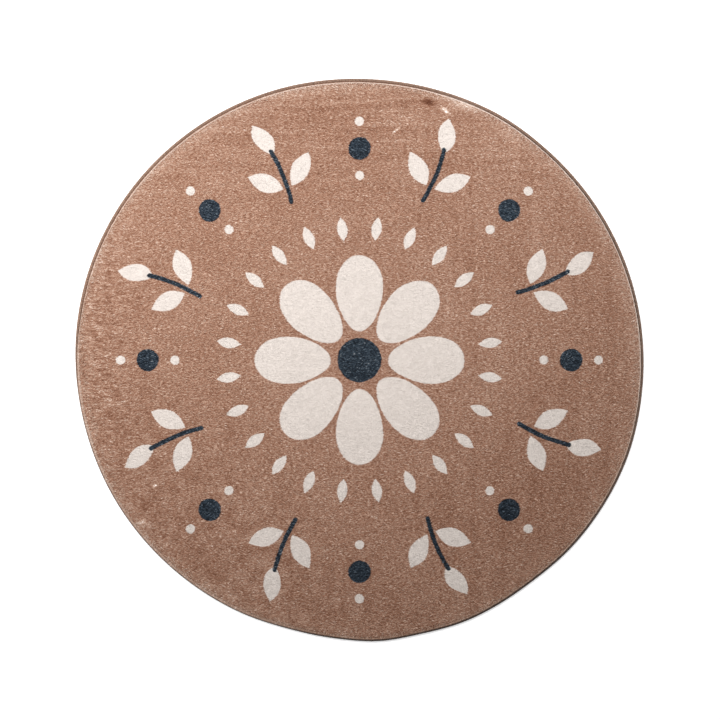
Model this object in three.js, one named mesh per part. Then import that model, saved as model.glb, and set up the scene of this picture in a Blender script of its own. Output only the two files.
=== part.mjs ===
// A round plush rug for a child's room, lying flat on the floor.
// Millimetres, +Z up. The origin is on the floor, under the middle of the rug.
// The far edge of the rug, away from someone who looks at it, is on +Y.
import * as THREE from "three";

// Driving dimensions
const RUG_DIAMETER = 1000;
const PILE_TOP = 8;
const BINDING_WIDTH = 5.2;
const YARN_THICKNESS = 1.1;
const BACKING_THICKNESS = 1.6;
const BINDING_ROUND = 0.7;
const SEWING_GAP = 0.3;
const AROUND_STEPS = 144;

// The cut is a little oval, with its long axis turned clockwise from +X.
const OVAL_RISE = 4;
const OVAL_TURN = -19.5;

// Shallow bulges and flats of the hand-cut rim: place and half width in degrees, rise in mm.
const RIM_UNEVENNESS = [
  { at: 60, halfWidth: 8, rise: 1.8 },
  { at: 88, halfWidth: 14, rise: -1.3 },
  { at: 192, halfWidth: 14, rise: -1.4 },
  { at: 255, halfWidth: 7, rise: -2.2 },
  { at: 274, halfWidth: 6, rise: 3.6 },
  { at: 291, halfWidth: 6, rise: 1.6 },
  { at: 308, halfWidth: 8, rise: -2.9 },
  { at: 340, halfWidth: 10, rise: 1.6 },
];

// Sizes that follow from these
const RADIUS = RUG_DIAMETER / 2;
const LIP_BOTTOM = YARN_THICKNESS + SEWING_GAP;
const LIP_TOP = LIP_BOTTOM + BACKING_THICKNESS;
const BINDING_HEIGHT = LIP_TOP + SEWING_GAP + YARN_THICKNESS;
const BINDING_INNER = RADIUS - BINDING_WIDTH;
const BINDING_WALL_INNER = RADIUS - YARN_THICKNESS;
const PILE_WALL = BINDING_INNER - SEWING_GAP;
const LIP_RADIUS = BINDING_WALL_INNER - SEWING_GAP;
const NAP_START = BINDING_HEIGHT + SEWING_GAP;

// Rounded shoulder of the pile at the rim. Going up, the nap leans towards -Y and so
// covers the binding along the near edge and bares it along the far one.
// Each row: share of the way up the free pile, inset from its wall, and lean, in mm.
const PILE_SHOULDER = [
  { up: 0, inset: 0, lean: 0 },
  { up: 0.27, inset: -0.4, lean: 1.3 },
  { up: 0.64, inset: 0.4, lean: 2.2 },
  { up: 0.88, inset: 2.2, lean: 2.7 },
  { up: 1, inset: 6, lean: 3 },
];

const PLUSH = { color: 0xa47c68, roughness: 0.95, metalness: 0 };
const BINDING_YARN = { color: 0x8a6a56, roughness: 0.85, metalness: 0 };

// Radius of the cut over the nominal radius, at an angle in radians.
function rimScale(angle) {
  let rise = OVAL_RISE * Math.cos(2 * (angle - THREE.MathUtils.degToRad(OVAL_TURN)));
  for (const bump of RIM_UNEVENNESS) {
    const turn = THREE.MathUtils.radToDeg(angle) - bump.at;
    const away = THREE.MathUtils.euclideanModulo(turn + 180, 360) - 180;
    rise += bump.rise * Math.exp(-((away / bump.halfWidth) ** 2));
  }
  return 1 + rise / RADIUS;
}

// A section swept round the rug and fitted to its uneven cut. Each row is a point of the section:
// its radius, its height, and how far the nap carries it towards -Y.
function sweepRound(section) {
  const profile = section.map((row) => new THREE.Vector2(row.radius, row.height));
  const geometry = new THREE.LatheGeometry(profile, AROUND_STEPS);
  geometry.rotateX(Math.PI / 2);
  const points = geometry.getAttribute("position");
  for (let i = 0; i < points.count; i++) {
    const row = section[i % section.length];
    const scale = rimScale(Math.atan2(points.getY(i), points.getX(i)));
    points.setXY(i, points.getX(i) * scale, points.getY(i) * scale - (row.lean ?? 0));
  }
  geometry.computeVertexNormals();
  return geometry;
}

function namedMesh(name, section, finish) {
  const mesh = new THREE.Mesh(sweepRound(section), new THREE.MeshStandardMaterial(finish));
  mesh.name = name;
  return mesh;
}

// The printed mat: backing and pile in one sheet, with the backing's bare lip at the rim.
function plushPanel() {
  const shoulder = PILE_SHOULDER.map(({ up, inset, lean }) => ({
    radius: PILE_WALL - inset,
    height: THREE.MathUtils.lerp(NAP_START, PILE_TOP, up),
    lean,
  }));
  const section = [
    { radius: 0, height: 0 },
    { radius: PILE_WALL, height: 0 },
    { radius: PILE_WALL, height: LIP_BOTTOM },
    { radius: LIP_RADIUS, height: LIP_BOTTOM },
    { radius: LIP_RADIUS, height: LIP_TOP },
    { radius: PILE_WALL, height: LIP_TOP },
    ...shoulder,
    { radius: 0, height: PILE_TOP, lean: shoulder.at(-1).lean },
  ];
  return namedMesh("plush_panel", section, PLUSH);
}

// The overlocked edge: yarn wrapped round the lip of the backing, rounded on its outer side.
function edgeBinding() {
  const section = [
    { radius: BINDING_INNER, height: 0 },
    { radius: RADIUS - BINDING_ROUND, height: 0 },
    { radius: RADIUS, height: BINDING_ROUND },
    { radius: RADIUS, height: BINDING_HEIGHT - 2 * BINDING_ROUND },
    { radius: RADIUS - BINDING_ROUND, height: BINDING_HEIGHT - BINDING_ROUND / 2 },
    { radius: RADIUS - 3 * BINDING_ROUND, height: BINDING_HEIGHT },
    { radius: BINDING_INNER, height: BINDING_HEIGHT },
    { radius: BINDING_INNER, height: LIP_TOP + SEWING_GAP },
    { radius: BINDING_WALL_INNER, height: LIP_TOP + SEWING_GAP },
    { radius: BINDING_WALL_INNER, height: YARN_THICKNESS },
    { radius: BINDING_INNER, height: YARN_THICKNESS },
    { radius: BINDING_INNER, height: 0 },
  ];
  return namedMesh("edge_binding", section, BINDING_YARN);
}

const rug = new THREE.Group();
rug.add(plushPanel(), edgeBinding());

// The uneven cut is set with the middle of its box over the origin.
const middle = new THREE.Box3().setFromObject(rug).getCenter(new THREE.Vector3());
rug.position.set(-middle.x, -middle.y, 0);

const part = new THREE.Group();
part.add(rug);

export default part;
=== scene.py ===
import math

import bpy
import numpy as np
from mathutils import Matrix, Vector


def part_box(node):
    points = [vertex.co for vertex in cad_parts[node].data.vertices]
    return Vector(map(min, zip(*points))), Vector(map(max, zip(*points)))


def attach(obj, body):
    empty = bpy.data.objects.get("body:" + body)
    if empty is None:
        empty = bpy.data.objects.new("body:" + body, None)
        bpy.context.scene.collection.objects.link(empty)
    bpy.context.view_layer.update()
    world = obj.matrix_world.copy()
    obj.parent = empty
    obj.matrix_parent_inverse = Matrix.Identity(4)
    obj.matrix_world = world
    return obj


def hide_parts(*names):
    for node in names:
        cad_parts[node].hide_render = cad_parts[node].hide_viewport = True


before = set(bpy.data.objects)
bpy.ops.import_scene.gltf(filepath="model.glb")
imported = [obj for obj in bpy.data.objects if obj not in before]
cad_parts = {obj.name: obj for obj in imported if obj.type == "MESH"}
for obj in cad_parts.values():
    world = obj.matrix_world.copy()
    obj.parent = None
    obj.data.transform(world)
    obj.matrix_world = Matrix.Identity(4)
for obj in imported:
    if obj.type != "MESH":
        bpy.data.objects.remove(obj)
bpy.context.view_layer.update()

# Sizes in metres, worked out from the frame where it holds them.
MM = 0.001
BINDING_LOW, BINDING_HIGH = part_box("edge_binding")
RUG_RADIUS = (BINDING_HIGH[0] - BINDING_LOW[0] + BINDING_HIGH[1] - BINDING_LOW[1]) / 4
BINDING_HEIGHT = BINDING_HIGH[2]
BINDING_WIDTH = 5.2 * MM
RIM_STEPS = 288

# The mat under the pile: heights, and how far its edges stand in from the rim.
MAT_TOP = 5.0 * MM
BACKING_INSET = BINDING_WIDTH + 0.3 * MM
MAT_INSET = BINDING_WIDTH + 1.7 * MM
LIP_INSET = 1.6 * MM
LIP_HEIGHTS = (1.4 * MM, 3.0 * MM)
BACKING_TOP = LIP_HEIGHTS[0] + 0.1 * MM
MAT_EDGE_DROP = 0.6 * MM
MAT_EDGE_ROUND = 0.8 * MM

# One lock of pile, standing up with its broad side to -X before it is laid over towards +X, and how
# locks are spaced, laid over, mapped, varied in size and girth, and shaded.
LOCK_LENGTH = 6.8 * MM
LOCK_WIDTH = 0.95 * MM
LOCK_RIDGE = 0.4 * MM
LOCK_BEND = 0.7 * MM
LOCK_BELLY = 0.45
LOCK_ROOT_HEIGHT = 3.9 * MM
LOCK_SPACING = 1.34 * MM
LOCK_DENSITY = 1200000
LOCK_LEAN = math.radians(72)
LOCK_MAP_SIZE = 0.95 * MM
LOCK_SIZES = (0.85, 1.1)
LOCK_GIRTHS = (0.75, 1.25)
PILE_SEED = 7
SOFT_SHADING = 0.85

# The close row of locks along the rim: its pitch, and the share of the rim from which it stands.
FRINGE_PITCH = 1.2 * MM
FRINGE_FROM = 0.99

# The lines across Y that part the pile into bands, as shares of the rug's radius.
PILE_BANDS = (-1.0, -0.49, -0.16, 0.16, 0.49, 1.0)

# The lie of the nap: how far to either side and how far towards -Y, what turns it, in radians,
# at which scale of noise, and how far chance turns and tilts one lock more.
NAP_SIDEWAYS = 0.95
NAP_DOWN = 0.3
SWAY_SCALE = 11.0
WHIRL = {"scale": 24.0, "turn": 2.2}
TANGLE = {"scale": 110.0, "turn": 1.8}
STRAY_TURN = 0.25
STRAY_TILT = (-0.12, 0.08)

# At the rim: the share of that lie that is lost, the lean outwards, to +X and to -Y in its place,
# and how much shorter the locks are. Where the pile covers the binding, the lean is all outwards,
# no lock leans less than COVER_LAID of the full lean, and most of the length is kept.
RIM_LIE_LOST = 0.9
RIM_LEAN = {"out": 0.15, "aside": 0.3, "down": 0.5}
RIM_SHORTER = 0.5
COVER_LONGER = 0.42
COVER_LAID = 0.85

# Overlock yarn: a wrap every pitch, round the lip of the mat.
YARN_RADIUS = 0.82 * MM
WRAP_PITCH = 1.75 * MM
WRAP_SLANT = 0.8 * MM
WRAP_JITTER = 0.12
WRAP_SIZES = (0.94, 1.02)
WRAP_SEED = 3

# Camera, as the pixels of the picture give it.
PICTURE_WIDTH = 720
RUG_PIXELS = 566.3
CAMERA_ASIDE = 0.9 * MM
CAMERA_HEIGHT = 3.0
SENSOR_WIDTH = 36.0


def srgb(red, green, blue):
    """A screen colour of 0 to 255 as the linear colour that a shader reads."""
    shares = np.array([red, green, blue]) / 255
    linear = np.where(shares <= 0.04045, shares / 12.92, ((shares + 0.055) / 1.055) ** 2.4)
    return (*linear.tolist(), 1.0)


def dye(wanted):
    """What a dye lets through, for a pile that is to look like the wanted colour."""
    return (*(w / u for w, u in zip(wanted[:3], UNDYED_PILE)), 1.0)


UNDYED_PILE = srgb(226, 215, 207)
NO_DYE = (1.0, 1.0, 1.0, 1.0)
BROWN_DYE = dye(srgb(160, 119, 97))
SLATE_DYE = dye(srgb(29, 40, 51))
BACKING_CLOTH = srgb(214, 205, 192)
BINDING_YARN = srgb(146, 116, 97)


class Field:
    """A number that nodes work out, so that a formula reads as plain arithmetic."""

    def __init__(self, tree, socket):
        self.tree = tree
        self.socket = socket

    def math(self, operation, *others):
        node = self.tree.nodes.new("ShaderNodeMath")
        node.operation = operation
        for place, value in zip(node.inputs, (self, *others)):
            plug(self.tree, value, place)
        return Field(self.tree, node.outputs[0])

    def __add__(self, other):
        return self.math("ADD", other)

    def __sub__(self, other):
        return self.math("SUBTRACT", other)

    def __mul__(self, other):
        return self.math("MULTIPLY", other)

    def __truediv__(self, other):
        return self.math("DIVIDE", other)

    def __pow__(self, other):
        return self.math("POWER", other)

    def __abs__(self):
        return self.math("ABSOLUTE")

    def least(self, other):
        return self.math("MINIMUM", other)

    def most(self, other):
        return self.math("MAXIMUM", other)


def plug(tree, value, place):
    """Links a field to an input, or sets the input to a plain value."""
    if isinstance(value, Field):
        tree.links.new(value.socket, place)
    else:
        place.default_value = value


def add_node(tree, kind, settings=None, **inputs):
    """A new node with its settings, and its inputs by name, with _ for a space."""
    node = tree.nodes.new(kind)
    for name, value in (settings or {}).items():
        setattr(node, name, value)
    for name, value in inputs.items():
        place = next(s for s in node.inputs if s.enabled and s.name == name.replace("_", " "))
        plug(tree, value, place)
    return node


def result(node, name=None):
    """The output of a node with this name, or its first one that is in use."""
    found = [s for s in node.outputs if s.enabled and name in (None, s.name)]
    return Field(node.id_data, found[0])


def split(tree, vector):
    node = add_node(tree, "ShaderNodeSeparateXYZ", Vector=vector)
    return result(node, "X"), result(node, "Y"), result(node, "Z")


def join(tree, x, y, z):
    return result(add_node(tree, "ShaderNodeCombineXYZ", X=x, Y=y, Z=z))


def length(a, b):
    return (a * a + b * b) ** 0.5


def fade(tree, value, low, high):
    """0 below low, 1 above high, and a smooth rise between them, or a fall if low is more."""
    settings = {"interpolation_type": "SMOOTHSTEP"}
    inputs = {"From_Min": low, "From_Max": high}
    return result(add_node(tree, "ShaderNodeMapRange", settings, Value=value, **inputs))


def noise_in(tree, place, scale, detail=1.0):
    inputs = {"Scale": scale, "Detail": detail}
    return result(add_node(tree, "ShaderNodeTexNoise", Vector=place, **inputs), "Fac")


def mix_colours(tree, share, first, second, blend="MIX"):
    settings = {"data_type": "RGBA", "blend_type": blend, "clamp_factor": True}
    return result(add_node(tree, "ShaderNodeMix", settings, Factor=share, A=first, B=second))


def new_group(name, kind, inputs, outputs):
    """A node group with named sockets. Returns the tree, its inputs by name and its output node."""
    tree = bpy.data.node_groups.new(name, kind)
    for socket, socket_kind, default in inputs:
        made = tree.interface.new_socket(socket, in_out="INPUT", socket_type=socket_kind)
        if default is not None:
            made.default_value = default
    for socket, socket_kind in outputs:
        tree.interface.new_socket(socket, in_out="OUTPUT", socket_type=socket_kind)
    start = tree.nodes.new("NodeGroupInput")
    places = {s.name: Field(tree, s) for s in start.outputs if s.name}
    return tree, places, tree.nodes.new("NodeGroupOutput")


# The print: a daisy, a ring of seeds, and sprigs with dots between them.
PETALS = 8
PETAL = {"middle": 118 * MM, "half_length": 67 * MM, "half_width": 41 * MM, "swell": 0.10}
DAISY_EYE = 39 * MM
SEEDS = 24
SEED = {
    "middle": 233 * MM,
    "out": 0.0,
    "turn": 0.0,
    "half_length": 21 * MM,
    "half_width": 9 * MM,
}
SPRIGS = 8
STEM = {"middle": 352 * MM, "half_length": 48 * MM, "half_width": 4 * MM, "bend": 1.6}
SIDE_LEAF = {
    "middle": 352 * MM,
    "out": 33 * MM,
    "turn": 0.85,
    "half_length": 33 * MM,
    "half_width": 16 * MM,
}
TOP_LEAF = {
    "middle": 424 * MM,
    "out": 0.0,
    "turn": 0.0,
    "half_length": 31 * MM,
    "half_width": 16 * MM,
}
DOTS = (
    {"middle": 326 * MM, "radius": 8 * MM, "dark": False},
    {"middle": 374 * MM, "radius": 20 * MM, "dark": True},
    {"middle": 422 * MM, "radius": 8 * MM, "dark": False},
)
PRINT_EDGE = 0.7 * MM
PRINT_WOBBLE = 3 * MM
PRINT_WOBBLE_SCALE = 26.0


def repeat_round(x, y, count, turn=0.0):
    """x and y in the nearest of count equal sectors, each with its own middle line along x."""
    sector = 2 * math.pi / count
    angle = y.math("ARCTAN2", x) + turn
    off = angle - (angle / sector).math("ROUND") * sector
    away = length(x, y)
    return away * off.math("COSINE"), away * off.math("SINE")


def capsule_gap(x, y, shape):
    """How far a point is outside a bar with round ends."""
    past = (abs(x - shape["middle"]) - shape["half_length"]).most(0)
    return length(past, y) - shape["half_width"]


def leaf_gap(x, y, shape):
    """About how far a point is outside a leaf with two pointed ends."""
    turn_cos, turn_sin = math.cos(shape["turn"]), math.sin(shape["turn"])
    dx = x - shape["middle"]
    dy = y - shape["out"]
    along = dx * turn_cos + dy * turn_sin
    across = dy * turn_cos - dx * turn_sin
    share = (along / shape["half_length"]) ** 2
    return abs(across) + share * shape["half_width"] - shape["half_width"]


def print_group():
    """The dyes over the rug's face, as the share of light that they let through at each place."""
    tree, given, end = new_group(
        "Printed dyes",
        "ShaderNodeTree",
        [("Place", "NodeSocketVector", None)],
        [("Dye", "NodeSocketColor")],
    )
    inputs = {"Scale": PRINT_WOBBLE_SCALE, "Detail": 1.0}
    noise = add_node(tree, "ShaderNodeTexNoise", Vector=given["Place"], **inputs)
    shake_x, shake_y, _ = split(tree, result(noise, "Color"))
    x, y, _ = split(tree, given["Place"])
    x = x + (shake_x - 0.5) * PRINT_WOBBLE
    y = y + (shake_y - 0.5) * PRINT_WOBBLE

    px, py = repeat_round(x, y, PETALS)
    from_middle = px - PETAL["middle"]
    petal_width = from_middle * PETAL["swell"] + PETAL["half_width"]
    petal_share = length(from_middle / PETAL["half_length"], py / petal_width)
    petals = (petal_share - 1) * PETAL["half_width"]
    eye = length(x, y) - DAISY_EYE

    seeds = leaf_gap(*repeat_round(x, y, SEEDS, math.pi / SEEDS), SEED)

    sx, sy = repeat_round(x, y, SPRIGS, math.pi / SPRIGS)
    lean = sx - STEM["middle"]
    sy = sy - lean * lean * STEM["bend"]
    stems = capsule_gap(sx, sy, STEM)
    leaves = leaf_gap(sx, abs(sy), SIDE_LEAF).least(leaf_gap(sx, sy, TOP_LEAF))

    dx, dy = repeat_round(x, y, SPRIGS)
    dots = {False: None, True: None}
    for dot in DOTS:
        gap = length(dx - dot["middle"], dy) - dot["radius"]
        before = dots[dot["dark"]]
        dots[dot["dark"]] = gap if before is None else before.least(gap)

    bare = petals.least(seeds).least(leaves).least(dots[False])
    dark = eye.least(stems).least(dots[True])
    colour = mix_colours(tree, fade(tree, bare, PRINT_EDGE, -PRINT_EDGE), BROWN_DYE, NO_DYE)
    colour = mix_colours(tree, fade(tree, dark, PRINT_EDGE, -PRINT_EDGE), colour, SLATE_DYE)
    plug(tree, colour, end.inputs["Dye"])
    return tree


def new_material(name):
    material = bpy.data.materials.new(name)
    material.use_nodes = True
    tree = material.node_tree
    return material, tree, tree.nodes["Principled BSDF"]


def place_group(tree, group, **inputs):
    return add_node(tree, "ShaderNodeGroup", {"node_tree": group}, **inputs)


def attribute(tree, name):
    return add_node(tree, "ShaderNodeAttribute", {"attribute_name": name})


# How far the print is drawn back to a lock's root, how much dye a lock takes up, from least to most,
# what the few locks that it misses take less, how much lighter a lock with little dye is besides,
# where along a lock the dye begins and is full, and how much of it fails in the pale pile at the rim.
ROOT_SHARE = 0.25
DYE_TAKEN = (0.7, 1.31)
DYE_MISSED = {"share": 0.2, "power": 9.0}
DYE_GLOSS = 0.5
DYED_FROM = (-0.15, 0.4)
PALE_MISS = 0.88

# Painted shade on the ground: how light it is in the open, and how dark in the groove at the rim, from
# the groove's shaded side to its lit one. The lit side is told by x, less a share of y, between two
# places.
GROUND_PAINTED_SHADE = 0.95
GROOVE_PAINTED_SHADE = (0.3, 0.68)
GROOVE_LIT_FROM = (0.35, -0.2)
GROOVE_LIT_TURN = 0.3

# Painted shade and sheen of the laid nap, as bands that take more dye or less: the noise's scale along x
# and y, its strength, and the coordinates whose sum it fades in along, between two values.
NAP_SHADING_BANDS = (
    {"across": 9.0, "up": 9.0, "strength": 0.25, "along": ""},
    {"across": 46.0, "up": 46.0, "strength": 0.7, "along": "xy", "none": -0.2, "full": -0.55},
    {"across": 7.0, "up": 95.0, "strength": 0.7, "along": "y", "none": 0.24, "full": 0.42},
    {"across": 42.0, "up": 2.5, "strength": 0.3, "along": "x", "none": 0.04, "full": 0.14},
    {"across": 60.0, "up": 210.0, "strength": 1.3, "along": "x", "none": -0.33, "full": -0.46},
)

# Fine strands, of the nap and of the ground under it: the noise's scale along x and y, and the whirls
# that bend it. Then how much the dye changes with the first, as painted sheen of tufts that catch the
# light, and from where to where with the second.
STRANDS = {"across": 190.0, "up": 560.0, "whirls": 60.0, "bend": 0.014}
GROUND_STRANDS = {"across": 280.0, "up": 1100.0, "whirls": 60.0, "bend": 0.012}
STRANDS_CHANGE = 1.5
GROUND_STRANDS_DYED = (0.3, 0.7)

# Marks that the nap keeps from packing and handling, as painted shade and highlight put in as dye: a
# crease's dark and light sides and broad patches among them. Middle, half length and half width in mm,
# turn in degrees, and how much more dye than usual shows.
NAP_SHADING_MARKS = (
    {"middle": (123, 455), "half": (11, 5), "turn": -20, "change": 1.0},
    {"middle": (152, 440), "half": (9, 3.5), "turn": -35, "change": -0.9},
    {"middle": (182, 456), "half": (34, 9), "turn": -22, "change": -0.5},
    {"middle": (65, 406), "half": (8, 1.5), "turn": 40, "change": -0.9},
    {"middle": (-387, -287), "half": (9, 3), "turn": 20, "change": -0.6},
    {"middle": (-361, -221), "half": (5, 2.5), "turn": 0, "change": -0.9},
    {"middle": (70, 23), "half": (95, 1.5), "turn": 90, "change": -0.35},
    {"middle": (74, 30), "half": (90, 1.5), "turn": 91, "change": 0.35},
    {"middle": (190, -30), "half": (120, 120), "turn": 0, "change": -0.05},
    {"middle": (330, -250), "half": (150, 130), "turn": 0, "change": 0.06},
    {"middle": (-340, -130), "half": (90, 60), "turn": 0, "change": 0.04},
    {"middle": (-20, 380), "half": (90, 90), "turn": 0, "change": 0.04},
)

# The surfaces' own values, and the bumps of those that have any: strength, and distance in metres.
PILE_FINISH = {
    "Roughness": 0.9,
    "Specular IOR Level": 0.2,
    "Sheen Weight": 0.15,
    "Sheen Roughness": 0.5,
}
CLOTH_FINISH = {"Roughness": 0.95}
YARN_FINISH = {"Roughness": 0.8, "Sheen Weight": 0.2}
GROUND_BUMP = {"Strength": 0.7, "Distance": 0.0012}
BACKING_BUMP = {"Strength": 0.5, "Distance": 0.0005}
YARN_BUMP = {"Strength": 0.5, "Distance": 0.0004}

# How light the backing and the yarn are: at least, and more by thread or wrap and by noise.
THREAD_PITCH = 1.6 * MM
BACKING_LIGHT = {"least": 0.86, "threads": 0.06, "noise": 0.16, "noise_scale": 60.0}
YARN_LIGHT = {"least": 0.6, "wraps": 0.3, "noise": 0.5, "noise_scale": 1400.0}


def set_finish(shader, finish):
    """Sets a shader's own sockets to plain values, by their names."""
    for socket, value in finish.items():
        shader.inputs[socket].default_value = value


def shaded(tree, colour, light):
    return mix_colours(tree, 1.0, colour, join(tree, light, light, light), "MULTIPLY")


def dyed_pile(tree, dyes, place, taken):
    """The colour of undyed pile with the printed dyes over it, taken up more or less."""
    through = result(place_group(tree, dyes, Place=place))
    covered = result(add_node(tree, "ShaderNodeRGBToBW", Color=through)) * -1 + 1
    gloss = (taken * -DYE_GLOSS + DYE_GLOSS) * covered + 1
    through = result(add_node(tree, "ShaderNodeGamma", Color=through, Gamma=taken))
    colour = mix_colours(tree, 1.0, UNDYED_PILE, through, "MULTIPLY")
    return shaded(tree, colour, gloss)


def strands_at(tree, place, strands):
    """Fine strands as noise from 0 to 1, drawn out along x and bent by whirls."""
    x, y, _ = split(tree, place)
    whirl = add_node(tree, "ShaderNodeTexNoise", Vector=place, Scale=strands["whirls"], Detail=1.0)
    shift_x, shift_y, _ = split(tree, result(whirl, "Color"))
    strand_x = (x + shift_x * strands["bend"]) * strands["across"]
    strand_y = (y + shift_y * strands["bend"]) * strands["up"]
    return noise_in(tree, join(tree, strand_x, strand_y, 0.0), 1.0)


def painted_nap_shading(tree, place):
    """Painted shade and sheen of the laid nap, as how much more dye than usual shows: about 0, and up or
    down from it.
    """
    x, y, _ = split(tree, place)
    total = None
    for band in NAP_SHADING_BANDS:
        spot = join(tree, x * band["across"], y * band["up"], 0.0)
        change = (noise_in(tree, spot, 1.0, detail=2.0) - 0.5) * band["strength"]
        if band["along"]:
            run = {"x": x, "y": y, "xy": x + y}[band["along"]]
            change = change * fade(tree, run, band["none"], band["full"])
        total = change if total is None else total + change
    total = total + (strands_at(tree, place, STRANDS) - 0.5) * STRANDS_CHANGE
    for mark in NAP_SHADING_MARKS:
        turn = math.radians(mark["turn"])
        dx = x - mark["middle"][0] * MM
        dy = y - mark["middle"][1] * MM
        along = (dx * math.cos(turn) + dy * math.sin(turn)) / (mark["half"][0] * MM)
        across = (dy * math.cos(turn) - dx * math.sin(turn)) / (mark["half"][1] * MM)
        from_middle = along * along + across * across
        total = total + (from_middle * -1).math("EXPONENT") * mark["change"]
    return total


def nap_group():
    """The painted nap shading as a node group, so that pile and ground show the same."""
    tree, given, end = new_group(
        "Painted nap shading",
        "ShaderNodeTree",
        [("Place", "NodeSocketVector", None)],
        [("Change", "NodeSocketFloat")],
    )
    plug(tree, painted_nap_shading(tree, given["Place"]), end.inputs["Change"])
    return tree


def pile_material(dyes, nap):
    """Dyed locks, each with its own share of dye, and less of it towards the root."""
    material, tree, shader = new_material("plush pile")
    place = result(add_node(tree, "ShaderNodeTexCoord"), "Object")
    root = result(attribute(tree, "root"), "Vector")
    settings = {"data_type": "VECTOR"}
    drawn_at = result(add_node(tree, "ShaderNodeMix", settings, Factor=ROOT_SHARE, A=place, B=root))
    shade = result(attribute(tree, "shade"), "Fac")
    missed = (shade * -1 + 1) ** DYE_MISSED["power"] * DYE_MISSED["share"]
    taken = shade * (DYE_TAKEN[1] - DYE_TAKEN[0]) + DYE_TAKEN[0] - missed
    # Painted shade and sheen of the nap, put in as more dye or less.
    taken = taken + result(place_group(tree, nap, Place=drawn_at))
    along = result(attribute(tree, "along"), "Fac")
    pale = result(attribute(tree, "pale"), "Fac")
    taken = taken * fade(tree, along, *DYED_FROM) * (pale * -PALE_MISS + 1)
    plug(tree, dyed_pile(tree, dyes, drawn_at, taken), shader.inputs["Base Color"])
    set_finish(shader, PILE_FINISH)
    return material


def mat_material(dyes, nap):
    """The pile's ground: fine strands between the locks, and painted shade in the groove at the rim."""
    material, tree, shader = new_material("plush ground")
    place = result(add_node(tree, "ShaderNodeTexCoord"), "Object")
    x, y, z = split(tree, place)
    strands = strands_at(tree, place, GROUND_STRANDS)
    dyed = fade(tree, strands, *GROUND_STRANDS_DYED)
    taken = dyed * (DYE_TAKEN[1] - DYE_TAKEN[0]) + DYE_TAKEN[0]
    # Painted shade and sheen of the nap, put in as more dye or less.
    taken = taken + result(place_group(tree, nap, Place=place))
    colour = dyed_pile(tree, dyes, place, taken)
    # Painted shade: darker down in the groove at the rim, and lighter on its lit side.
    lit = fade(tree, x - y * GROOVE_LIT_TURN, *GROOVE_LIT_FROM)
    groove = lit * (GROOVE_PAINTED_SHADE[1] - GROOVE_PAINTED_SHADE[0]) + GROOVE_PAINTED_SHADE[0]
    depth = fade(tree, z, MAT_TOP, LIP_HEIGHTS[1])
    colour = shaded(tree, colour, (groove - GROUND_PAINTED_SHADE) * depth + GROUND_PAINTED_SHADE)
    plug(tree, colour, shader.inputs["Base Color"])
    bump = add_node(tree, "ShaderNodeBump", Height=strands, **GROUND_BUMP)
    plug(tree, result(bump), shader.inputs["Normal"])
    set_finish(shader, CLOTH_FINISH)
    return material


def backing_material():
    """Plain woven backing under the rug."""
    material, tree, shader = new_material("backing cloth")
    place = result(add_node(tree, "ShaderNodeTexCoord"), "Object")
    x, y, _ = split(tree, place)
    threads = 2 * math.pi / THREAD_PITCH
    weave = (x * threads).math("SINE") * (y * threads).math("SINE")
    noise = noise_in(tree, place, BACKING_LIGHT["noise_scale"], detail=3.0)
    light = weave * BACKING_LIGHT["threads"] + noise * BACKING_LIGHT["noise"] + BACKING_LIGHT["least"]
    plug(tree, shaded(tree, BACKING_CLOTH, light), shader.inputs["Base Color"])
    bump = add_node(tree, "ShaderNodeBump", Height=weave, **BACKING_BUMP)
    plug(tree, result(bump), shader.inputs["Normal"])
    set_finish(shader, CLOTH_FINISH)
    return material


def binding_material():
    """Brown overlock yarn, with the shade of each wrap a little its own, and painted light and shade by
    the place.
    """
    material, tree, shader = new_material("binding yarn")
    place = result(add_node(tree, "ShaderNodeTexCoord"), "Object")
    shade = result(attribute(tree, "shade"), "Fac")
    noise = noise_in(tree, place, YARN_LIGHT["noise_scale"], detail=2.0)
    # Painted light and shade by the place round the rim.
    yarn_painted_shading = result(attribute(tree, "yarn_painted_shading"), "Fac")
    light = shade * YARN_LIGHT["wraps"] + noise * YARN_LIGHT["noise"] + YARN_LIGHT["least"]
    plug(tree, shaded(tree, BINDING_YARN, light * yarn_painted_shading), shader.inputs["Base Color"])
    bump = add_node(tree, "ShaderNodeBump", Height=noise, **YARN_BUMP)
    plug(tree, result(bump), shader.inputs["Normal"])
    set_finish(shader, YARN_FINISH)
    return material


def rim_of_frame():
    """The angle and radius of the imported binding's outer line at each of its steps."""
    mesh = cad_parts["edge_binding"].data
    points = np.empty(len(mesh.vertices) * 3)
    mesh.vertices.foreach_get("co", points)
    x, y, _ = points.reshape(-1, 3).T
    radius, angle = np.hypot(x, y), np.arctan2(y, x)
    step = np.round(angle * RIM_STEPS / (4 * math.pi)) % (RIM_STEPS // 2)
    outermost = [max(np.flatnonzero(step == i), key=lambda k: radius[k]) for i in np.unique(step)]
    outermost.sort(key=lambda k: angle[k])
    return angle[outermost], radius[outermost]


RIM_ANGLES, RIM_RADII = rim_of_frame()


def ring_points(radius, height, angles):
    x = radius * np.cos(angles)
    y = radius * np.sin(angles)
    return np.stack([x, y, np.full_like(angles, height)], 1)


def rim_ring(inset, height, angles):
    """Points on the rim's uneven line, moved in by inset."""
    radius = np.interp(angles, RIM_ANGLES, RIM_RADII, period=2 * math.pi) - inset
    return ring_points(radius, height, angles)


def mesh_object(name, points, faces, materials=()):
    mesh = bpy.data.meshes.new(name)
    mesh.from_pydata([tuple(p) for p in points], [], faces)
    for material in materials:
        mesh.materials.append(material)
    made = bpy.data.objects.new(name, mesh)
    bpy.context.scene.collection.objects.link(made)
    return made


def ring_faces(rings, steps):
    """Quads between each ring of points and the next, for rings of equal steps."""
    faces = []
    for ring in range(rings - 1):
        low, high = ring * steps, (ring + 1) * steps
        for i in range(steps):
            after = (i + 1) % steps
            faces.append((low + i, low + after, high + after, high + i))
    return faces


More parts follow.
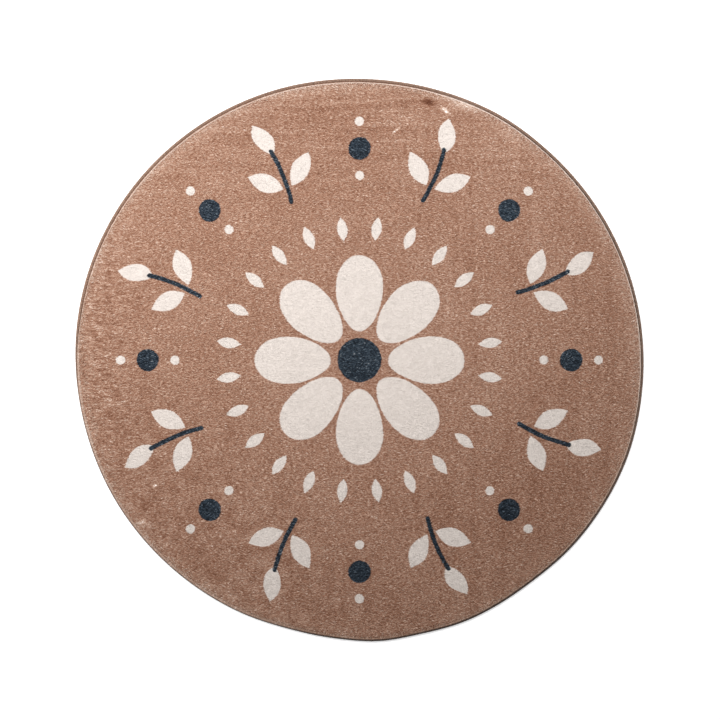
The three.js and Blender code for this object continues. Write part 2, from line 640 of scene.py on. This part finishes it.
def plush_mat(ground, backing):
    """The sheet under the pile: backing below, ground above, and a bare lip in the binding."""
    angles = np.linspace(-math.pi, math.pi, RIM_STEPS, endpoint=False)
    rows = [
        (RUG_RADIUS / 2, 0.0),
        (BACKING_INSET, 0.0),
        (BACKING_INSET, LIP_HEIGHTS[0]),
        (LIP_INSET, LIP_HEIGHTS[0]),
        (LIP_INSET, LIP_HEIGHTS[1]),
        (MAT_INSET, LIP_HEIGHTS[1]),
        (MAT_INSET, MAT_TOP - MAT_EDGE_DROP),
        (MAT_INSET + MAT_EDGE_ROUND, MAT_TOP),
        (RUG_RADIUS / 2, MAT_TOP),
    ]
    points = np.concatenate([rim_ring(inset, height, angles) for inset, height in rows])
    faces = ring_faces(len(rows), RIM_STEPS)
    last = (len(rows) - 1) * RIM_STEPS
    faces.append(tuple(reversed(range(RIM_STEPS))))
    faces.append(tuple(range(last, last + RIM_STEPS)))
    made = mesh_object("plush_mat", points, faces, (ground, backing))
    for face in made.data.polygons:
        face.material_index = int(face.center.z < BACKING_TOP)
    return made


# The bed's rings: how far in from the rim, how far the pile there stands as it does at the rim, and
# how pale it can be.
BED_RINGS = (
    {"inset": 300 * MM, "rim": 0.0, "pale": 0.0},
    {"inset": 34 * MM, "rim": 0.0, "pale": 0.0},
    {"inset": 17 * MM, "rim": 0.0, "pale": 0.3},
    {"inset": 10 * MM, "rim": 0.5, "pale": 0.6},
    {"inset": 7.2 * MM, "rim": 1.0, "pale": 1.0},
)

# How much of that paleness shows round the rim, by the angle from +X in degrees.
PALE_ROUND = (
    (0, 0.9),
    (35, 1.0),
    (62, 1.0),
    (90, 0.95),
    (135, 0.9),
    (180, 0.65),
    (200, 0.64),
    (245, 0.57),
    (262, 0.4),
    (272, 0.45),
    (282, 0.38),
    (325, 0.65),
    (345, 0.75),
)

# How far the pile lies out over the binding, by the same angle.
COVER_ROUND = (
    (168, 0.0),
    (190, 1.0),
    (245, 1.0),
    (262, 0.5),
    (280, 0.35),
    (300, 0.2),
    (335, 0.0),
)

# Painted light and shade on the binding's yarn round the rim, by the same angle, darkest at the bottom.
YARN_PAINTED_SHADING_ROUND = (
    (0, 0.75),
    (45, 0.95),
    (90, 1.0),
    (170, 1.1),
    (195, 0.6),
    (225, 0.5),
    (270, 0.22),
    (315, 0.3),
)


def share_round(table, angles):
    """A table's share at each angle, in radians, with an even change between its rows."""
    at, share = np.array(table).T
    return np.interp(np.degrees(angles), at, share, period=360)


def pile_bed():
    """The face that the locks are rooted on, with how the pile is to stand and look at each point."""
    steps = RIM_STEPS // 2
    angles = np.linspace(-math.pi, math.pi, steps, endpoint=False)
    rings = [rim_ring(ring["inset"], LOCK_ROOT_HEIGHT, angles) for ring in BED_RINGS]
    faces = [tuple(reversed(face)) for face in ring_faces(len(BED_RINGS), steps)]
    faces.append(tuple(range(steps)))
    made = mesh_object("pile_bed", np.concatenate(rings), faces)
    pale_round = share_round(PALE_ROUND, angles)
    values = {
        "rim": np.repeat([ring["rim"] for ring in BED_RINGS], steps),
        "pale": np.concatenate([ring["pale"] * pale_round for ring in BED_RINGS]),
        "cover": np.tile(share_round(COVER_ROUND, angles), len(BED_RINGS)),
    }
    for name, value in values.items():
        made.data.attributes.new(name, "FLOAT", "POINT").data.foreach_set("value", value)
    return made


def pile_lock():
    """One lock, a kite with a ridge across. along runs from root to tip, cell is its place on a map."""
    points = [
        (0.0, 0.0, 0.0),
        (-LOCK_RIDGE, LOCK_WIDTH / 2, LOCK_BELLY * LOCK_LENGTH),
        (-LOCK_RIDGE, -LOCK_WIDTH / 2, LOCK_BELLY * LOCK_LENGTH),
        (LOCK_BEND, 0.0, LOCK_LENGTH),
    ]
    faces = [(0, 2, 1), (1, 2, 3), (0, 1, 3), (0, 3, 2)]
    made = mesh_object("pile_lock", points, faces)
    made.data.shade_smooth()
    along = [z / LOCK_LENGTH for _, _, z in points]
    cell = [(share - 0.5, y / LOCK_WIDTH, 0.0) for share, (_, y, _) in zip(along, points)]
    attributes = made.data.attributes
    attributes.new("along", "FLOAT", "POINT").data.foreach_set("value", along)
    attributes.new("cell", "FLOAT_VECTOR", "POINT").data.foreach_set("vector", np.ravel(cell))
    return made


def random_number(tree, low, high, seed):
    settings = {"data_type": "FLOAT"}
    return result(add_node(tree, "FunctionNodeRandomValue", settings, Min=low, Max=high, Seed=seed))


def named(tree, kind, name):
    settings = {"data_type": kind}
    return result(add_node(tree, "GeometryNodeInputNamedAttribute", settings, Name=name), "Attribute")


def store(tree, geometry, name, kind, domain, value):
    settings = {"data_type": kind, "domain": domain}
    inputs = {"Geometry": geometry, "Name": name, "Value": value}
    return result(add_node(tree, "GeometryNodeStoreNamedAttribute", settings, **inputs))


def pile_tree():
    """Roots locks over the bed and lays each along the nap, for the band between two lines across Y."""
    tree, given, end = new_group(
        "Rooted pile",
        "GeometryNodeTree",
        [
            ("Geometry", "NodeSocketGeometry", None),
            ("Lock", "NodeSocketObject", None),
            ("Material", "NodeSocketMaterial", None),
            ("Spacing", "NodeSocketFloat", LOCK_SPACING),
            ("Density", "NodeSocketFloat", LOCK_DENSITY),
            ("Fringe Pitch", "NodeSocketFloat", FRINGE_PITCH),
            ("Lean", "NodeSocketFloat", LOCK_LEAN),
            ("Low Y", "NodeSocketFloat", -1.0),
            ("High Y", "NodeSocketFloat", 1.0),
            ("Seed", "NodeSocketInt", PILE_SEED),
        ],
        [("Geometry", "NodeSocketGeometry")],
    )
    scattered = add_node(
        tree,
        "GeometryNodeDistributePointsOnFaces",
        {"distribute_method": "POISSON"},
        Mesh=given["Geometry"],
        Distance_Min=given["Spacing"],
        Density_Max=given["Density"],
        Seed=given["Seed"],
    )
    place = result(add_node(tree, "GeometryNodeInputPosition"))
    x, y, _ = split(tree, place)
    rim = named(tree, "FLOAT", "rim")
    cover = named(tree, "FLOAT", "cover")

    # A close row of locks stands along the bed's outer line.
    at_rim = rim.math("GREATER_THAN", FRINGE_FROM)
    line = result(add_node(tree, "GeometryNodeMeshToCurve", Mesh=given["Geometry"], Selection=at_rim))
    inputs = {"Curve": line, "Length": given["Fringe Pitch"]}
    row = add_node(tree, "GeometryNodeCurveToPoints", {"mode": "LENGTH"}, **inputs)
    both = tree.nodes.new("GeometryNodeJoinGeometry")
    for points in (result(scattered, "Points"), result(row, "Points")):
        tree.links.new(points.socket, both.inputs["Geometry"])
    outside = y.math("LESS_THAN", given["Low Y"]).most(y.math("GREATER_THAN", given["High Y"]))
    inputs = {"Geometry": result(both), "Selection": outside}
    kept = add_node(tree, "GeometryNodeDeleteGeometry", {"domain": "POINT"}, **inputs)

    # The nap lies to either side and a little towards -Y, turned by slow whirls, tangles and chance.
    whirl = noise_in(tree, place, WHIRL["scale"])
    tangle = noise_in(tree, place, TANGLE["scale"])
    sway = noise_in(tree, place, SWAY_SCALE)
    side = (random_number(tree, 0.0, 1.0, given["Seed"] + 1) - sway).math("SIGN")
    stray = random_number(tree, -STRAY_TURN, STRAY_TURN, given["Seed"] + 2)
    turn = (whirl - 0.5) * WHIRL["turn"] + (tangle - 0.5) * TANGLE["turn"] + stray
    cos, sin = turn.math("COSINE"), turn.math("SINE")
    nap_x = side * cos * NAP_SIDEWAYS + sin * NAP_DOWN
    nap_y = side * sin * NAP_SIDEWAYS - cos * NAP_DOWN

    # At the rim it leans by the place on the rim, and out over the binding where it covers that.
    inside = rim * -RIM_LIE_LOST + 1
    away = length(x, y)
    out = cover * (1 - RIM_LEAN["out"]) + RIM_LEAN["out"]
    bare = cover * -1 + 1
    nap_x = nap_x * inside + (x / away * out + bare * RIM_LEAN["aside"]) * rim
    nap_y = nap_y * inside + (y / away * out - bare * RIM_LEAN["down"]) * rim
    laid = length(nap_x, nap_y).least(1.0).most(cover * COVER_LAID)
    tilt = laid * given["Lean"] + random_number(tree, *STRAY_TILT, given["Seed"] + 3)
    yaw = nap_y.math("ARCTAN2", nap_x)
    turned = result(add_node(tree, "FunctionNodeEulerToRotation", Euler=join(tree, 0.0, tilt, yaw)))
    shorter = rim * (cover * -COVER_LONGER + RIM_SHORTER)
    size = random_number(tree, *LOCK_SIZES, given["Seed"] + 4) - shorter
    girth = random_number(tree, *LOCK_GIRTHS, given["Seed"] + 5)

    lock = add_node(tree, "GeometryNodeObjectInfo", Object=given["Lock"])
    placed = add_node(
        tree,
        "GeometryNodeInstanceOnPoints",
        Points=result(kept),
        Instance=result(lock, "Geometry"),
        Rotation=turned,
        Scale=join(tree, girth, girth, size),
    )
    geometry = store(tree, result(placed), "root", "FLOAT_VECTOR", "INSTANCE", place)
    shade = random_number(tree, 0.0, 1.0, given["Seed"] + 6)
    geometry = store(tree, geometry, "shade", "FLOAT", "INSTANCE", shade)
    geometry = result(add_node(tree, "GeometryNodeRealizeInstances", Geometry=geometry))
    root_x, root_y, _ = split(tree, named(tree, "FLOAT_VECTOR", "root"))
    cell_x, cell_y, _ = split(tree, named(tree, "FLOAT_VECTOR", "cell"))
    map_x = (root_x + cell_x * LOCK_MAP_SIZE) / (2 * RUG_RADIUS) + 0.5
    map_y = (root_y + cell_y * LOCK_MAP_SIZE - given["Low Y"]) / (given["High Y"] - given["Low Y"])
    geometry = store(tree, geometry, "OFBake", "FLOAT2", "CORNER", join(tree, map_x, map_y, 0.0))
    painted = add_node(tree, "GeometryNodeSetMaterial", Geometry=geometry, Material=given["Material"])
    plug(tree, result(painted), end.inputs["Geometry"])
    return tree


def grown(name, source, tree, **inputs):
    """A plain mesh object of what a tree makes from a source, with the tree's inputs by name."""
    work = bpy.data.objects.new(name + "_work", source.data)
    bpy.context.scene.collection.objects.link(work)
    modifier = work.modifiers.new(name, "NODES")
    modifier.node_group = tree
    sockets = {s.name: s.identifier for s in tree.interface.items_tree if s.in_out == "INPUT"}
    for socket, value in inputs.items():
        modifier[sockets[socket.replace("_", " ")]] = value
    graph = bpy.context.evaluated_depsgraph_get()
    mesh = bpy.data.meshes.new_from_object(
        work.evaluated_get(graph), preserve_all_data_layers=True, depsgraph=graph
    )
    mesh.name = name
    bpy.data.objects.remove(work)
    made = bpy.data.objects.new(name, mesh)
    bpy.context.scene.collection.objects.link(made)
    return made


def soften(mesh):
    """Turns the shading normals towards the rug's face, as light that spreads between locks does."""
    normals = np.empty(len(mesh.vertices) * 3, np.float32)
    mesh.vertex_normals.foreach_get("vector", normals)
    normals = normals.reshape(-1, 3) * (1 - SOFT_SHADING) + np.array([0.0, 0.0, SOFT_SHADING])
    normals /= np.linalg.norm(normals, axis=1)[:, None]
    mesh.normals_split_custom_set_from_vertices(normals)


def pile_pieces(material):
    tree, bed, lock = pile_tree(), pile_bed(), pile_lock()
    made = []
    for low, high in zip(PILE_BANDS, PILE_BANDS[1:]):
        limits = {"Low_Y": low * RUG_RADIUS, "High_Y": high * RUG_RADIUS}
        name = f"pile_band_{len(made) + 1}"
        made.append(grown(name, bed, tree, Lock=lock, Material=material, **limits))
        soften(made[-1].data)
    for helper in (bed, lock):
        bpy.data.objects.remove(helper)
    return made


# The path of one wrap across the rim: how far in from the rim's line, and how high, in mm.
WRAP_PATH = (
    (5.0, 3.3),
    (4.2, 3.9),
    (2.4, 3.9),
    (1.0, 3.2),
    (0.75, 1.9),
    (1.3, 0.9),
    (3.0, 0.75),
)
YARN_SIDES = 5


def yarn_wrap():
    """One turn of overlock yarn, with the rim along X and the rug's middle towards +Y."""
    path = np.array([(0.0, inset * MM, height * MM) for inset, height in WRAP_PATH])
    path[:, 0] = np.linspace(-WRAP_SLANT, WRAP_SLANT, len(path))
    ahead = np.gradient(path, axis=0)
    ahead /= np.linalg.norm(ahead, axis=1)[:, None]
    beside = np.array([1.0, 0.0, 0.0]) - ahead * ahead[:, :1]
    beside /= np.linalg.norm(beside, axis=1)[:, None]
    above = np.cross(ahead, beside)
    turns = np.linspace(0, 2 * math.pi, YARN_SIDES, endpoint=False)
    rings = [
        p + YARN_RADIUS * (np.outer(np.cos(turns), b) + np.outer(np.sin(turns), a))
        for p, b, a in zip(path, beside, above)
    ]
    faces = ring_faces(len(rings), YARN_SIDES)
    last = (len(rings) - 1) * YARN_SIDES
    faces.append(tuple(reversed(range(YARN_SIDES))))
    faces.append(tuple(range(last, last + YARN_SIDES)))
    made = mesh_object("yarn_wrap", np.concatenate(rings), faces)
    made.data.shade_smooth()
    return made


def binding_tree():
    """Wraps of yarn round the rim, at an even pitch, each a little its own."""
    tree, given, end = new_group(
        "Overlocked rim",
        "GeometryNodeTree",
        [
            ("Geometry", "NodeSocketGeometry", None),
            ("Wrap", "NodeSocketObject", None),
            ("Material", "NodeSocketMaterial", None),
            ("Pitch", "NodeSocketFloat", WRAP_PITCH),
            ("Seed", "NodeSocketInt", WRAP_SEED),
        ],
        [("Geometry", "NodeSocketGeometry")],
    )
    rim = result(add_node(tree, "GeometryNodeMeshToCurve", Mesh=given["Geometry"]))
    inputs = {"Curve": rim, "Length": given["Pitch"]}
    even = result(add_node(tree, "GeometryNodeResampleCurve", {"mode": "LENGTH"}, **inputs))
    ahead_x, ahead_y, _ = split(tree, result(add_node(tree, "GeometryNodeInputTangent")))
    jitter = random_number(tree, -WRAP_JITTER, WRAP_JITTER, given["Seed"] + 1)
    yaw = ahead_y.math("ARCTAN2", ahead_x) + jitter
    turned = result(add_node(tree, "FunctionNodeEulerToRotation", Euler=join(tree, 0.0, 0.0, yaw)))
    size = random_number(tree, *WRAP_SIZES, given["Seed"] + 2)
    wrap = add_node(tree, "GeometryNodeObjectInfo", Object=given["Wrap"])
    placed = add_node(
        tree,
        "GeometryNodeInstanceOnPoints",
        Points=even,
        Instance=result(wrap, "Geometry"),
        Rotation=turned,
        Scale=join(tree, 1.0, size, size),
    )
    shade = random_number(tree, 0.0, 1.0, given["Seed"] + 3)
    geometry = store(tree, result(placed), "shade", "FLOAT", "INSTANCE", shade)
    geometry = result(add_node(tree, "GeometryNodeRealizeInstances", Geometry=geometry))
    painted = add_node(tree, "GeometryNodeSetMaterial", Geometry=geometry, Material=given["Material"])
    plug(tree, result(painted), end.inputs["Geometry"])
    return tree


def edge_binding(material):
    angles = np.linspace(-math.pi, math.pi, RIM_STEPS, endpoint=False)
    mesh = bpy.data.meshes.new("rim_line")
    edges = [(i, (i + 1) % RIM_STEPS) for i in range(RIM_STEPS)]
    mesh.from_pydata([tuple(p) for p in rim_ring(0.0, 0.0, angles)], edges, [])
    # Painted light and shade round the rim: the yarn is darker where the pile shades it.
    yarn_painted_shading = share_round(YARN_PAINTED_SHADING_ROUND, angles)
    mesh.attributes.new("yarn_painted_shading", "FLOAT", "POINT").data.foreach_set("value", yarn_painted_shading)
    rim = bpy.data.objects.new("rim_line", mesh)
    wrap = yarn_wrap()
    made = grown("overlock_binding", rim, binding_tree(), Wrap=wrap, Material=material)
    for helper in (rim, wrap):
        bpy.data.objects.remove(helper)
    return made


# Soft lamps at the left and beyond the far edge: name, place and watts.
LAMP_SIZE = 0.7
LAMPS = (
    ("left_lamp", (-0.8, 0.4, 1.0), 15.0),
    ("far_lamp", (0.45, 0.78, 1.0), 11.6),
)

# The floor, and the low wall that it turns up into all round: radius and height in metres.
COVE_STEPS = 96
COVE = (
    (4.0, 0.0),
    (4.6, 0.05),
    (5.1, 0.25),
    (5.5, 0.65),
    (5.7, 1.2),
    (5.8, 2.5),
)
WHITE = (1.0, 1.0, 1.0, 1.0)
FLOOR_FINISH = {
    "Base Color": (0.9, 0.9, 0.9, 1.0),
    "Roughness": 0.9,
    "Emission Color": WHITE,
    "Emission Strength": 0.55,
}
WORLD_LIGHT = {"Color": WHITE, "Strength": 0.06}


def studio():
    """A pale floor, soft lamps on two sides, and a camera straight above the rug."""
    scene = bpy.context.scene
    scene.view_settings.view_transform = "Standard"
    angles = np.linspace(-math.pi, math.pi, COVE_STEPS, endpoint=False)
    rings = [ring_points(radius, height, angles) for radius, height in COVE]
    faces = [tuple(reversed(face)) for face in ring_faces(len(COVE), COVE_STEPS)]
    faces.append(tuple(range(COVE_STEPS)))
    material, _, shader = new_material("studio floor")
    set_finish(shader, FLOOR_FINISH)
    floor = mesh_object("studio_floor", np.concatenate(rings), faces, (material,))
    floor.data.shade_smooth()

    world = bpy.data.worlds.new("studio")
    world.use_nodes = True
    set_finish(world.node_tree.nodes["Background"], WORLD_LIGHT)
    scene.world = world

    for name, place, power in LAMPS:
        light = bpy.data.lights.new(name, "AREA")
        light.size = LAMP_SIZE
        light.energy = power
        lamp = bpy.data.objects.new(name, light)
        lamp.location = place
        lamp.rotation_euler = lamp.location.to_track_quat("Z", "Y").to_euler()
        scene.collection.objects.link(lamp)

    camera = bpy.data.cameras.new("above")
    camera.sensor_width = SENSOR_WIDTH
    view_width = 2 * RUG_RADIUS * PICTURE_WIDTH / RUG_PIXELS
    camera.lens = SENSOR_WIDTH * (CAMERA_HEIGHT - BINDING_HEIGHT) / view_width
    above = bpy.data.objects.new("above", camera)
    above.location = (CAMERA_ASIDE, 0.0, CAMERA_HEIGHT)
    scene.collection.objects.link(above)
    scene.camera = above


studio()
dyes = print_group()
nap = nap_group()
mat = plush_mat(mat_material(dyes, nap), backing_material())
bands = pile_pieces(pile_material(dyes, nap))
binding = edge_binding(binding_material())

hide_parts("plush_panel")
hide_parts("edge_binding")
for piece in (mat, *bands):
    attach(piece, "root")
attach(binding, "root")
